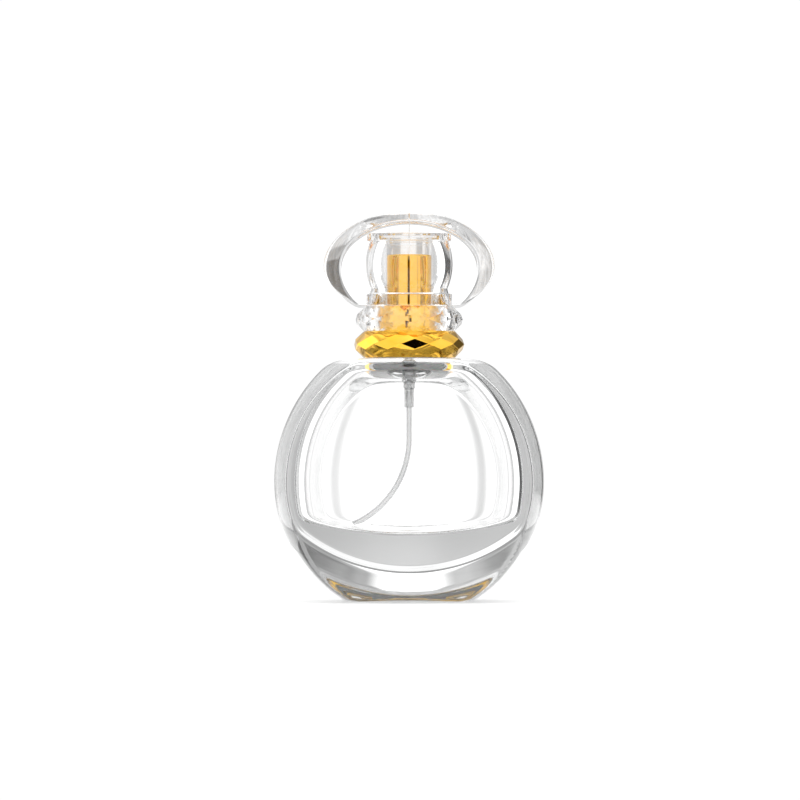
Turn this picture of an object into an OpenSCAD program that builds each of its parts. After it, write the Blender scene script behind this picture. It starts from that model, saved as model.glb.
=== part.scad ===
// Perfume bottle: a round flat-faced glass flask with a crimped spray pump,
// a faceted gold collar, a gold actuator and a clear oval cap that pulls off.
// Z is up, the flat front face looks along -Y, and the origin is the middle of the base.

/* [Glass body] */
// Width of the glass body at its widest
body_w = 74; // [73:0.5:75]
// Depth of the body between its flat front and back faces
body_d = 31.6; // [31:0.2:33]
// Depth of the flat strip that the body stands on
base_d = 19; // [17:0.5:20]
// Height of the flat shoulder above the base
shoulder_h = 66.6; // [66.2:0.2:67.4]
// Width of the reservoir inside the glass
cavity_w = 62.6; // [60:0.2:63]
// Depth of the reservoir inside the glass
cavity_d = 25.8; // [24:0.2:26]
// Height of the reservoir floor above the base
floor_h = 18.2; // [17.6:0.2:18.2]

/* [Neck finish] */
// Outer diameter of the glass bead that the pump is crimped on
bead_d = 15; // [14.8:0.05:15.05]
// Diameter of the hole through the neck
neck_bore_d = 10.2; // [9.2:0.1:10.4]

/* [Collar and actuator] */
// Diameter across the middle corners of the faceted gold collar
collar_d = 30.6; // [29:0.2:32]
// Number of facets around the collar and the clear ring above it
facets = 12; // [10:1:14]
// Turn of the facets away from the front, in degrees
facet_turn = 5.9; // [0:0.1:15]
// Outer diameter of the gold actuator
actuator_d = 18.2; // [18.1:0.05:18.3]
// How far the actuator goes down when it is pressed
press_travel = 4.2; // [3:0.1:4.2]

/* [Cap] */
// Width of the clear oval cap
cap_w = 47.2; // [44:0.4:50]
// Depth of the cap between its flat front and back faces
cap_d = 28.8; // [27:0.4:31]
// Height of the oval part of the cap
cap_h = 26.2; // [25:0.2:28]

/* [Dip tube] */
// Outer diameter of the dip tube
tube_d = 1.65; // [1.4:0.05:1.8]
// Radius of the bend in the lower half of the dip tube
tube_bend_r = 27; // [27:0.5:29]

/* [Hidden] */
$fn = 96;
over = 1; // how far a cutter reaches past the face that it cuts

// Glass body
belly_h = 32.8; // height of the widest row
belly_r = body_w / 2;
upper_offset = 6; // the upper half is an arc whose centre lies this far across the axis
heel_axis_h = 56.3; // height of the axis of the two cones that bevel the heel
heel_face_r = 47.8; // radius of the crease between each cone and a flat face
heel_slope = (heel_axis_h - heel_face_r) / (body_d / 2 - base_d / 2);
recess_r = 7.5;
recess_h = 0.6;
cavity_h = 37; // height of the reservoir's oval above and below its middle
floor_r = 112;
ceiling_h = 64.3;
neck_r = 6.5;

// Heights of the stacked pieces on the neck
bead_z = shoulder_h + 7.4;
neck_top = shoulder_h + 11;
gasket_top = neck_top + 0.8;
housing_top = gasket_top + 0.8;
turret_top = housing_top + 0.6;
ferrule_top = turret_top + 0.4;
collar_top = ferrule_top + 0.5;
hub_top = turret_top + 2.4;

// Pump
chamber_r = 3;
chamber_z = shoulder_h + 0.3;
spring_bore_r = 1.5;
spring_seat_z = chamber_z - 4.2;
ball_bore_r = 1.12;
ball_seat_z = spring_seat_z - 1.9;
ball_r = 1;
socket_top = ball_seat_z - 1.7;
tail_z = socket_top - 4.5;
slide_gap = 0.02; // radial gap of a seal that slides
stem_r = 1.6;
stem_bore_r = 0.6;
stem_z = chamber_z + 6.4;
stem_top = stem_z + 17.7;
seal_z = chamber_z + 8.9;
piston_z = stem_z - 0.4;
piston_top = piston_z + 2.7;
rod_flange_z = piston_z - 0.9;
rod_flange_top = rod_flange_z + 0.72;
spring_r = 1.15;
wire_d = 0.32;
spring_turns = 10;

// Dip tube
tube_r = tube_d / 2;
tube_bore_r = 0.45;
bend_z = 45.5;
bend_drop = 25;

// Collar
ferrule_r = bead_d / 2 + 0.45;
collar_bore_r = ferrule_r + 0.1;
collar_z = shoulder_h + 0.3;
grip_z = shoulder_h + 7.4;
grip_top = grip_z + 1.9;
grip_r = 9.4;
spigot_r = 8.7;

// Actuator
shell_r = actuator_d / 2;
shell_wall = 0.3;
shell_z = collar_top + 0.2;
shell_top = shell_z + 14;
core_r = shell_r - shell_wall - 0.05;
core_top = shell_top - 0.35;
core_rim_z = shell_z + 4.7;
boss_z = hub_top + press_travel + 0.6;
nozzle_z = shell_top - 3;
nozzle_r = 1.75;

// Cap
cap_z = collar_top + 0.1;
cap_oval_z = cap_z + 10.4;
cap_wide_z = cap_z + 12.1;
ring_z = grip_z + 0.15;
ring_mid_z = grip_z + 3.3;
ring_mid_r = 14.9;
liner_r = 11;
liner_bore_r = shell_r + 0.5;

function arc(centre, radius, from, to, steps) =
  [for (i = [0:steps])
    let (a = from + (to - from) * i / steps)
    centre + radius * [cos(a), sin(a)]];

// A band of flat diamonds between two rows of kites, as on a cut stone.
// Every facet is flat, so the end radii follow from the diamonds' size.
module facet_band(mid_r, z_low, z_mid, z_high, half_diamond) {
  step = 360 / facets;
  flat_r = mid_r * cos(step / 2);
  slope = mid_r * pow(sin(step / 2), 2) / half_diamond;
  low_r = flat_r * cos(step / 2) - slope * (z_mid - half_diamond - z_low);
  high_r = flat_r * cos(step / 2) - slope * (z_high - z_mid - half_diamond);
  function ring(r, z, turn) =
    [for (i = [0:facets - 1])
      let (a = -90 + facet_turn + step * (i + turn))
      [r * cos(a), r * sin(a), z]];
  function at(row, i) = row * facets + i % facets;
  points = concat(
    ring(low_r, z_low, 0.5),
    ring(flat_r, z_mid - half_diamond, 0),
    ring(mid_r, z_mid, 0.5),
    ring(flat_r, z_mid + half_diamond, 0),
    ring(high_r, z_high, 0.5));
  faces = concat(
    [[for (i = [0:facets - 1]) at(0, i)]],
    [[for (i = [facets - 1:-1:0]) at(4, i)]],
    [for (i = [0:facets - 1]) [at(0, i), at(1, i + 1), at(0, i + 1)]],
    [for (i = [0:facets - 1]) [at(0, i), at(1, i), at(2, i), at(1, i + 1)]],
    [for (i = [0:facets - 1]) [at(2, i), at(1, i + 1), at(2, i + 1), at(3, i + 1)]],
    [for (i = [0:facets - 1]) [at(2, i), at(3, i), at(4, i), at(3, i + 1)]],
    [for (i = [0:facets - 1]) [at(3, i + 1), at(4, i), at(4, i + 1)]]);
  polyhedron(points = points, faces = faces);
}

// A ring with square edges
module washer(r_in, r_out, z_low, z_high) {
  translate([0, 0, z_low])
    difference() {
      cylinder(r = r_out, h = z_high - z_low);
      translate([0, 0, -over]) cylinder(r = r_in, h = z_high - z_low + 2 * over);
    }
}

// The solid of revolution of the glass: a ball below the widest row, a taller arc above it
module belly() {
  translate([0, 0, belly_h])
    rotate_extrude() {
      intersection() {
        circle(r = belly_r, $fn = 180);
        translate([0, -belly_r]) square([belly_r, belly_r]);
      }
      intersection() {
        translate([-upper_offset, 0]) circle(r = belly_r + upper_offset, $fn = 180);
        square([belly_r, shoulder_h - belly_h]);
      }
    }
}

// Two cones on one axis along Y, which bevel the heel towards the base strip
module heel() {
  translate([0, 0, heel_axis_h])
    rotate([90, 0, 0])
      rotate_extrude($fn = 180)
        polygon([
          [0, -body_d / 2],
          [heel_face_r, -body_d / 2],
          [heel_face_r + heel_slope * body_d / 2, 0],
          [heel_face_r, body_d / 2],
          [0, body_d / 2]]);
}

module reservoir() {
  intersection() {
    translate([0, 0, belly_h]) scale([cavity_w / 2, cavity_d / 2, cavity_h]) sphere(r = 1);
    translate([0, 0, floor_h + floor_r]) sphere(r = floor_r, $fn = 180);
    translate([-body_w / 2, -body_d / 2, 0]) cube([body_w, body_d, ceiling_h]);
  }
}

module glass_bottle() {
  dish_r = (recess_r * recess_r + recess_h * recess_h) / (2 * recess_h);
  color([0.93, 0.95, 0.95, 0.35])
    difference() {
      union() {
        intersection() {
          belly();
          translate([-body_w, -body_d / 2, 0]) cube([2 * body_w, body_d, shoulder_h]);
          heel();
        }
        translate([0, 0, shoulder_h - over]) cylinder(r = neck_r, h = neck_top - shoulder_h + over);
        translate([0, 0, bead_z]) cylinder(r = bead_d / 2, h = neck_top - bead_z);
      }
      reservoir();
      translate([0, 0, ceiling_h - over]) cylinder(d = neck_bore_d, h = neck_top - ceiling_h + 2 * over);
      translate([0, 0, recess_h - dish_r]) sphere(r = dish_r);
    }
}

module decor_collar() {
  pocket_r = 11.8;
  pocket_top = collar_z + 5.5;
  lip_r = 7;
  color("gold")
    difference() {
      union() {
        facet_band(collar_d / 2, collar_z, shoulder_h + 3.85, grip_z, 1.45);
        translate([0, 0, grip_z - over]) cylinder(r = grip_r, h = grip_top - grip_z + over);
        translate([0, 0, grip_z]) cylinder(r = spigot_r, h = collar_top - grip_z);
      }
      translate([0, 0, collar_z - over]) cylinder(r = pocket_r, h = pocket_top - collar_z + over);
      translate([0, 0, collar_z]) cylinder(r = collar_bore_r, h = ferrule_top - collar_z);
      translate([0, 0, collar_z]) cylinder(r = lip_r, h = collar_top - collar_z + over);
    }
}

// Plastic ring inside the collar: its inner fingers snap under the crimped ferrule
module collar_insert() {
  fingers = 8;
  inner_r = 6.7;
  finger_r = 7.9;
  slot_w = 1.2;
  bottom = shoulder_h + 0.1;
  color("whitesmoke")
    difference() {
      union() {
        washer(inner_r, 11.7, bottom, bottom + 1.2);
        washer(10.5, 11.7, bottom, bottom + 5.6);
        washer(inner_r, finger_r, bottom, bottom + 6);
      }
      for (i = [0:fingers - 1])
        rotate([0, 0, 360 / fingers * i])
          translate([inner_r - over, -slot_w / 2, bottom + 1.2])
            cube([finger_r - inner_r + 2 * over, slot_w, 6]);
    }
}

module crimp_ferrule() {
  wall = 0.4;
  hole_r = 3.1;
  curl_r = 6.7;
  curl_z = bead_z - 0.8;
  color("silver")
    rotate_extrude()
      polygon([
        [hole_r, ferrule_top],
        [ferrule_r - 0.3, ferrule_top],
        [ferrule_r, ferrule_top - 0.3],
        [ferrule_r, bead_z - wall],
        [curl_r + 0.2, curl_z - 0.3],
        [curl_r, curl_z],
        [ferrule_r - wall, bead_z - 0.05],
        [ferrule_r - wall, turret_top],
        [hole_r, turret_top]]);
}

module neck_gasket() {
  color("white") washer(4.2, 7.3, neck_top, gasket_top);
}

module pump_housing() {
  body_r = 3.9;
  lower_r = 2.1;
  ball_wall_r = 1.7;
  tail_r = 1.4;
  vent_r = 0.3;
  color([0.95, 0.95, 0.95, 0.7])
    difference() {
      rotate_extrude()
        polygon([
          [0, tail_z],
          [tail_r, tail_z],
          [tail_r, ball_seat_z - 0.8],
          [ball_wall_r, ball_seat_z - 0.5],
          [ball_wall_r, spring_seat_z - 0.8],
          [lower_r, spring_seat_z - 0.5],
          [lower_r, chamber_z - 0.9],
          [body_r - 0.4, chamber_z - 0.9],
          [body_r, chamber_z - 0.5],
          [body_r, gasket_top],
          [7, gasket_top],
          [7, housing_top],
          [0, housing_top]]);
      translate([0, 0, chamber_z]) cylinder(r = chamber_r, h = housing_top - chamber_z + over);
      translate([0, 0, spring_seat_z]) cylinder(r = spring_bore_r, h = chamber_z - spring_seat_z + over);
      translate([0, 0, ball_seat_z]) cylinder(r = ball_bore_r, h = spring_seat_z - ball_seat_z + over);
      translate([0, 0, tail_z]) cylinder(r = 0.6, h = ball_seat_z - tail_z + over);
      translate([0, 0, tail_z - over]) cylinder(r = tube_r, h = socket_top - tail_z + over);
      translate([chamber_r - over, 0, piston_top - 0.3])
        rotate([0, 90, 0]) cylinder(r = vent_r, h = body_r - chamber_r + 2 * over);
    }
}

// Lid of the pump: a flange under the ferrule, a plug in the chamber and a guide for the stem
module turret() {
  seal_top = seal_z + 0.8;
  color("white")
    difference() {
      union() {
        translate([0, 0, housing_top]) cylinder(r = 6.8, h = turret_top - housing_top);
        translate([0, 0, seal_top]) cylinder(r = chamber_r - slide_gap, h = housing_top - seal_top);
        translate([0, 0, turret_top]) cylinder(r = 3, h = hub_top - turret_top);
      }
      translate([0, 0, seal_top - over]) cylinder(r = stem_r + 0.1, h = hub_top - seal_top + 2 * over);
    }
}

module stem_seal() {
  color("dimgray") washer(stem_r + slide_gap, chamber_r - slide_gap, seal_z, seal_z + 0.8);
}

module return_spring() {
  ring_steps = 20;
  sides = 6;
  dead_pitch = wire_d * 1.06;
  height = rod_flange_z - 0.05 - spring_seat_z - wire_d;
  live_pitch = (height - 2 * dead_pitch) / (spring_turns - 2);
  rings = spring_turns * ring_steps;
  function rise(turn) =
    turn < 1 ? turn * dead_pitch
    : turn > spring_turns - 1 ? height - (spring_turns - turn) * dead_pitch
    : dead_pitch + (turn - 1) * live_pitch;
  points = [
    for (i = [0:rings], j = [0:sides - 1])
      let (a = 360 * i / ring_steps, b = 360 * j / sides, r = spring_r + wire_d / 2 * cos(b))
      [r * cos(a), r * sin(a), spring_seat_z + wire_d / 2 + rise(i / ring_steps) + wire_d / 2 * sin(b)]];
  walls = [
    for (i = [0:rings - 1], j = [0:sides - 1])
      let (k = (j + 1) % sides)
      [i * sides + j, i * sides + k, (i + 1) * sides + k, (i + 1) * sides + j]];
  ends = [
    [for (j = [sides - 1:-1:0]) j],
    [for (j = [0:sides - 1]) rings * sides + j]];
  color("silver") polyhedron(points = points, faces = concat(walls, ends));
}

module inlet_ball() {
  seat_rise = sqrt(ball_r * ball_r - 0.6 * 0.6);
  color("silver") translate([0, 0, ball_seat_z + seat_rise + 0.03]) sphere(r = ball_r);
}

// Straight below the pump, then bent towards -X so that it ends low in the reservoir
module dip_tube() {
  color([0.95, 0.95, 0.95, 0.8]) {
    washer(tube_bore_r, tube_r, bend_z, socket_top);
    translate([-tube_bend_r, 0, bend_z])
      rotate([-90, 0, 0])
        rotate_extrude(angle = asin(bend_drop / tube_bend_r))
          translate([tube_bend_r, 0])
            difference() {
              circle(r = tube_r, $fn = 48);
              circle(r = tube_bore_r, $fn = 48);
            }
  }
}

module stem() {
  color("white") washer(stem_bore_r, stem_r, stem_z, stem_top);
}

// Piston on the foot of the stem, with a lip at each end that wipes the chamber
module piston() {
  lip_r = chamber_r - slide_gap;
  waist_r = 2.4;
  color("white")
    difference() {
      rotate_extrude()
        polygon([
          [0, piston_z],
          [lip_r, piston_z],
          [lip_r, piston_z + 0.4],
          [waist_r, piston_z + 0.9],
          [waist_r, piston_top - 0.9],
          [lip_r, piston_top - 0.4],
          [lip_r, piston_top],
          [0, piston_top]]);
      translate([0, 0, piston_z - over]) cylinder(r = 0.8, h = 2 * over);
      translate([0, 0, stem_z]) cylinder(r = stem_r, h = piston_top - stem_z + over);
    }
}

// Rod under the piston: the spring holds its cone in the piston's hole until pressure opens it
module valve_rod() {
  rod_r = 0.7;
  rod_foot = rod_flange_z - 4;
  color("whitesmoke")
    rotate_extrude()
      polygon([
        [0, rod_foot],
        [rod_r - 0.2, rod_foot],
        [rod_r, rod_foot + 0.3],
        [rod_r, rod_flange_z],
        [1.9, rod_flange_z],
        [1.9, rod_flange_top],
        [0.95, rod_flange_top],
        [0.45, rod_flange_top + 0.48],
        [0, rod_flange_top + 0.48]]);
}

// Moulding inside the gold shell: it holds the stem and leads the spray to the nozzle
module actuator_core() {
  rim_wall = 1.15;
  boss_r = 3.6;
  roof = 1.35;
  rib_w = 4.4;
  channel_r = 0.45;
  color("white")
    difference() {
      union() {
        washer(core_r - rim_wall, core_r, core_rim_z, core_top);
        translate([0, 0, core_top - roof]) cylinder(r = core_r, h = roof);
        translate([0, 0, boss_z]) cylinder(r = boss_r, h = core_top - boss_z);
        translate([-rib_w / 2, 0, nozzle_z - rib_w / 2])
          cube([rib_w, core_r - rim_wall / 2, core_top - nozzle_z + rib_w / 2]);
      }
      translate([0, 0, boss_z - over]) cylinder(r = stem_r + 0.03, h = stem_top + 0.1 - boss_z + over);
      translate([0, 0, stem_top]) cylinder(r = stem_bore_r, h = nozzle_z - stem_top + channel_r);
      translate([0, 0, nozzle_z]) rotate([-90, 0, 0]) cylinder(r = channel_r, h = core_r);
      translate([0, core_r - 2.3, nozzle_z]) rotate([-90, 0, 0]) cylinder(r = nozzle_r, h = 2.3 + over);
    }
}

module actuator_shell() {
  edge_r = 0.6;
  color("gold")
    difference() {
      rotate_extrude()
        polygon(concat(
          [[0, shell_z], [shell_r, shell_z]],
          arc([shell_r - edge_r, shell_top - edge_r], edge_r, 0, 90, 6),
          [[0, shell_top]]));
      translate([0, 0, shell_z - over]) cylinder(r = shell_r - shell_wall, h = core_top - shell_z + over);
      translate([0, shell_r - over, nozzle_z]) rotate([-90, 0, 0]) cylinder(r = nozzle_r + 0.2, h = 2 * over);
    }
}

module nozzle_insert() {
  orifice_r = 0.15;
  swirl_r = 0.9;
  length = 2.4;
  color("white")
    translate([0, core_r - 2.3, nozzle_z])
      rotate([-90, 0, 0])
        difference() {
          cylinder(r = nozzle_r, h = length);
          translate([0, 0, -over]) cylinder(r = swirl_r, h = length - 0.8 + over);
          translate([0, 0, -over]) cylinder(r = orifice_r, h = length + 2 * over);
          translate([0, 0, length - 0.4]) cylinder(r1 = orifice_r, r2 = 1, h = 0.41);
        }
}

// Outline of the liner from its shoulder to its top rim, grown by gap
function liner_outline(gap) = concat(
  [[liner_r + 0.6 + gap, cap_z + 3.2 + gap], [liner_r - 0.35 + gap, cap_z + 3.5 + gap]],
  arc([-4.6, cap_z + 11.5], 16.4 + gap, -24, 22, 12),
  [[liner_r - 0.4 + gap, cap_z + 17.8 - gap], [liner_r + 0.4 + gap, cap_z + 17.9 - gap],
   [liner_r + 0.4 + gap, cap_z + 19.8 + gap]]);

// The part of an oval solid above or below its middle: side is 1 or -1
module half_oval(semi, side) {
  intersection() {
    scale(semi) sphere(r = 1);
    translate([0, 0, side * semi.z]) cube(2 * [semi.x + over, semi.y + over, semi.z], center = true);
  }
}

// Front view of the cap's block: rounded in below its widest row, and flat at its foot
module cap_front() {
  wide_h = 15.1;
  half_w = cap_w / 2;
  intersection() {
    union() {
      scale([1, wide_h / half_w]) circle(r = half_w);
      translate([-half_w, 0]) square([cap_w, cap_h]);
    }
    translate([-half_w, cap_z - cap_wide_z]) square([cap_w, cap_h]);
  }
}

// Solid clear block, oval from the front, with a socket for the liner
module cap_shell() {
  semi_y = 24.5;
  low_h = 19;
  top_h = cap_z + cap_h - cap_oval_z;
  gap = 0.05;
  color([0.95, 0.96, 0.96, 0.3])
    difference() {
      intersection() {
        translate([0, 0, cap_oval_z]) {
          half_oval([cap_w / 2, semi_y, top_h], 1);
          half_oval([cap_w / 2, semi_y, low_h], -1);
        }
        translate([0, cap_d / 2, cap_wide_z])
          rotate([90, 0, 0])
            linear_extrude(height = cap_d) cap_front();
      }
      rotate_extrude()
        polygon(concat(
          [[0, cap_z - over], [liner_r + 0.6 + gap, cap_z - over]],
          liner_outline(gap),
          [[0, cap_z + 19.8 + gap]]));
    }
}

module cap_ring() {
  color([0.95, 0.96, 0.96, 0.3])
    difference() {
      facet_band(ring_mid_r, ring_z, ring_mid_z, cap_z, 1.35);
      translate([0, 0, ring_z - over]) cylinder(r = liner_r + 0.05, h = cap_z - ring_z + 2 * over);
    }
}

// Clear liner of the cap: its lower bore grips the step of the collar
module cap_core() {
  bottom = grip_z + 0.2;
  ceiling = cap_z + 18.55;
  dish_r = 7.8;
  color([0.95, 0.96, 0.96, 0.4])
    rotate_extrude()
      polygon(concat(
        [[grip_r + 0.05, bottom], [liner_r, bottom], [liner_r, cap_z], [liner_r + 0.6, cap_z]],
        liner_outline(0),
        [[dish_r, cap_z + 19.8], [dish_r, ceiling + 0.65], [0, ceiling + 0.65], [0, ceiling],
         [liner_bore_r, ceiling], [liner_bore_r, grip_top + 0.4], [grip_r + 0.05, grip_top + 0.4]]));
}

glass_bottle();
decor_collar();
collar_insert();
crimp_ferrule();
neck_gasket();
pump_housing();
turret();
stem_seal();
return_spring();
inlet_ball();
dip_tube();
stem();
piston();
valve_rod();
actuator_core();
actuator_shell();
nozzle_insert();
cap_shell();
cap_ring();
cap_core();
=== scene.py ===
"""Looks of the perfume bottle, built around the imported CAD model.

Units: meshes are worked out in millimetres in the CAD frame and stored in metres.
The front of the bottle looks along -Y, +Z is up and the origin is the middle of the base.
"""
import math

import bmesh
import bpy
import numpy as np
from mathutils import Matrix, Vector


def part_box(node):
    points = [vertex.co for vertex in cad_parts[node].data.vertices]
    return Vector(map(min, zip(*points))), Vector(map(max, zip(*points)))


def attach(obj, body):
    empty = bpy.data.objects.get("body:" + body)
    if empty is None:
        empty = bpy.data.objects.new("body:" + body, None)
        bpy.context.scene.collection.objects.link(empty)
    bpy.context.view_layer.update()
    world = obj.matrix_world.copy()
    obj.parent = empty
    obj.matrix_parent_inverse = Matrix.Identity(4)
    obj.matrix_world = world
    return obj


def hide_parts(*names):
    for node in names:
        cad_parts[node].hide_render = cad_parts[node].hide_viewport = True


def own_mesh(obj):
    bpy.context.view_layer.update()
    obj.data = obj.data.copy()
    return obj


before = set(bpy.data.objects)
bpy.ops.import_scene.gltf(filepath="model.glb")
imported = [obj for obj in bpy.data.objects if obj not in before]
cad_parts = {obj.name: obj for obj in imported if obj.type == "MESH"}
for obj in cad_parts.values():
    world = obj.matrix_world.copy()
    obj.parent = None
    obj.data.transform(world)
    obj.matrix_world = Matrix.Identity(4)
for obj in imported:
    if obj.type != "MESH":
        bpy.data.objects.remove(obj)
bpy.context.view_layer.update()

MM = 0.001
TURN = 2 * math.pi


def size_mm(node):
    """Lowest and highest corner of a CAD node in millimetres."""
    low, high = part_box(node)
    return np.array(low) / MM, np.array(high) / MM


# ---------------------------------------------------------------- sizes, in millimetres
GLASS_HIGH = size_mm("glass_bottle")[1]
TUBE_HIGH = size_mm("dip_tube")[1]
RING_LOW, RING_HIGH = size_mm("cap_ring")
BAND_LOW, BAND_HIGH = size_mm("decor_collar")
SHELL_LOW, SHELL_HIGH = size_mm("cap_shell")
PUMP_LOW, PUMP_HIGH = size_mm("pump_housing")
SPRING_LOW, SPRING_HIGH = size_mm("return_spring")
BALL_LOW, BALL_HIGH = size_mm("inlet_ball")

NECK_TOP = GLASS_HIGH[2]
SHOULDER = NECK_TOP - 11.0
BODY_HALF_D = GLASS_HIGH[1]
# the belly is a ball up to its widest level; above it the outline is an arc that is larger by
# the offset and centred that far beyond the axis
BELLY_R = GLASS_HIGH[0]
BELLY_H = 32.8
UPPER_OFFSET = 6.0
# the heel is a cone around a line along Y: it has its small radius on the flat faces and
# touches the base plane at the base's half depth
HEEL_AXIS_H = 56.3
HEEL_FACE_R = 47.8
BASE_HALF_D = 9.5
RECESS_R = 7.5
RECESS_H = 0.6
# the reservoir is an ellipsoid around the belly's centre, cut by a dished floor and a flat ceiling
CAVITY = np.array([31.3, 12.9, 37.0])
FLOOR_H = 18.2
FLOOR_R = 112.0
CEILING_H = SHOULDER - 2.3
NECK_R = 6.5
BEAD_R = 7.5
BORE_R = 5.1

FACETS = 12
FACET_TURN = math.radians(5.9)
# the collar's band ends at the grip level, where its spigot starts
GRIP_Z = SHOULDER + 7.4
POCKET_R = 11.8
POCKET_H = 5.5

CAP_FOOT = SHELL_LOW[2]
CAP_TOP = SHELL_HIGH[2]
CAP_HALF_W = SHELL_HIGH[0]
CAP_HALF_D = SHELL_HIGH[1]
CAP_OVAL_H = CAP_FOOT + 10.4
CAP_WIDE_H = CAP_FOOT + 12.1
LINER_R = 11.0
LINER_FLANGE_R = LINER_R + 0.6
LINER_TOP = CAP_FOOT + 19.8
LINER_SEGMENTS = 224
AIR_GAP = 0.06


# ---------------------------------------------------------------- mesh helpers
def smooth_max(a, b, size):
    """The larger of two fields, with a fillet about size wide where they cross."""
    blend = np.maximum(size - np.abs(a - b), 0) / size
    return np.maximum(a, b) + blend * blend * size / 4


def shoot(field, start, direction, reach):
    """Distance along each ray at which field turns positive, by bisection."""
    low = np.zeros(len(start))
    high = np.full(len(start), float(reach))
    for _ in range(44):
        middle = (low + high) / 2
        outside = field(start + direction * middle[:, None]) > 0
        high = np.where(outside, middle, high)
        low = np.where(outside, low, middle)
    return (low + high) / 2


def new_mesh(name, points, faces, sharp_angle=None):
    """A smooth-shaded mesh object from millimetre points."""
    mesh = bpy.data.meshes.new(name)
    mesh.from_pydata([tuple(p) for p in np.asarray(points) * MM], [], faces)
    return finish_mesh(name, mesh, sharp_angle)


def finish_mesh(name, mesh, sharp_angle=None):
    """Welds the mesh, turns its faces outwards, shades it smooth and puts it in the scene."""
    work = bmesh.new()
    work.from_mesh(mesh)
    bmesh.ops.remove_doubles(work, verts=work.verts, dist=1e-7)
    bmesh.ops.recalc_face_normals(work, faces=work.faces)
    work.to_mesh(mesh)
    work.free()
    mesh.polygons.foreach_set("use_smooth", [True] * len(mesh.polygons))
    if sharp_angle is not None:
        mesh.set_sharp_from_angle(angle=math.radians(sharp_angle))
    piece = bpy.data.objects.new(name, mesh)
    bpy.context.scene.collection.objects.link(piece)
    return piece


def grid_faces(rows, columns):
    """Quads of a grid of points that closes on itself along its columns."""
    faces = []
    for i in range(rows - 1):
        a = i * columns
        b = a + columns
        for j in range(columns):
            k = (j + 1) % columns
            faces.append((a + j, a + k, b + k, b + j))
    return faces


def fan_faces(pole, row, columns):
    """Triangles between a pole point and the row of points that starts at row."""
    return [(pole, row + j, row + (j + 1) % columns) for j in range(columns)]


def rounded(profile, radius, steps=4):
    """A profile of (r, z) points with every inner corner replaced by a small arc."""
    points = [np.array(p, float) for p in profile]
    out = [points[0]]
    for before, corner, after in zip(points, points[1:], points[2:]):
        a, b = before - corner, after - corner
        la, lb = np.linalg.norm(a), np.linalg.norm(b)
        cosine = np.clip(a @ b / (la * lb), -1, 1)
        half = math.acos(cosine) / 2
        if half > math.radians(80):
            out.append(corner)
            continue
        cut = min(radius / math.tan(half), 0.45 * la, 0.45 * lb)
        p, q = corner + a / la * cut, corner + b / lb * cut
        for t in np.linspace(0, 1, steps + 1):
            out.append((1 - t) ** 2 * p + 2 * t * (1 - t) * corner + t * t * q)
    out.append(points[-1])
    return out


def circle_rows(profile, angles):
    """Rings of points around Z, one for each (r, z) of the profile."""
    return np.array([[(r * math.cos(a), r * math.sin(a), z) for a in angles] for r, z in profile])


def lathe(name, profile, segments=160, radius=0.0, closed=False, sharp_angle=35):
    """A solid of revolution. An open profile starts and ends on the axis."""
    if closed:
        profile = list(profile) + [profile[0]]
        # start in the middle of the first edge, so that every corner is rounded
        middle = (np.array(profile[0], float) + np.array(profile[1], float)) / 2
        profile = [middle] + profile[1:] + [middle]
    points = rounded(profile, radius) if radius else [np.array(p, float) for p in profile]
    angles = [TURN * i / segments for i in range(segments)]
    if closed:
        rows = circle_rows(points, angles)
        faces = grid_faces(len(rows), segments)
        return new_mesh(name, rows.reshape(-1, 3), faces, sharp_angle)
    rows = circle_rows(points[1:-1], angles)
    body = rows.reshape(-1, 3)
    poles = [(0, 0, points[0][1]), (0, 0, points[-1][1])]
    faces = grid_faces(len(rows), segments)
    faces += fan_faces(len(body), 0, segments)
    faces += fan_faces(len(body) + 1, len(body) - segments, segments)
    return new_mesh(name, np.vstack([body, poles]), faces, sharp_angle)


def arc_points(centre, radius, first, last, steps):
    """Points of an arc in the (r, z) plane, angles in degrees."""
    turns = np.radians(np.linspace(first, last, steps + 1))
    return [(centre[0] + radius * math.cos(t), centre[1] + radius * math.sin(t)) for t in turns]


def boundary_loops(work):
    """The vertex loops around the holes of a bmesh."""
    edges = {e for e in work.edges if e.is_boundary}
    loops = []
    while edges:
        edge = edges.pop()
        loop = [edge]
        front = list(edge.verts)
        while front:
            vert = front.pop()
            for other in vert.link_edges:
                if other in edges:
                    edges.discard(other)
                    loop.append(other)
                    front += list(other.verts)
        loops.append(loop)
    return loops


def closed_ring(work, verts):
    """Edges of a closed ring of vertices."""
    return [work.edges.get(pair) for pair in zip(verts, verts[1:] + verts[:1])]


def add_bands(work, rings):
    """Joins each ring of vertices to the next one with quads."""
    columns = len(rings[0])
    for a, b in zip(rings, rings[1:]):
        for j in range(columns):
            k = (j + 1) % columns
            work.faces.new((a[j], a[k], b[k], b[j]))


def fill_between(work, edges):
    """Fills the flat ring between the loops of edges."""
    bmesh.ops.triangle_fill(work, use_beauty=True, use_dissolve=False, edges=edges)


# ---------------------------------------------------------------- the glass body
def belly_field(p):
    height = p[:, 2] - BELLY_H
    radius = np.hypot(p[:, 0], p[:, 1])
    ball = np.hypot(radius, height) - BELLY_R
    upper = np.hypot(radius + UPPER_OFFSET, height) - BELLY_R - UPPER_OFFSET
    return np.where(height < 0, ball, upper)


def heel_field(p):
    slope = (HEEL_AXIS_H - HEEL_FACE_R) / (BODY_HALF_D - BASE_HALF_D)
    reach = HEEL_FACE_R + slope * (BODY_HALF_D - np.abs(p[:, 1]))
    return (np.hypot(p[:, 0], p[:, 2] - HEEL_AXIS_H) - reach) / math.hypot(1, slope)


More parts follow.
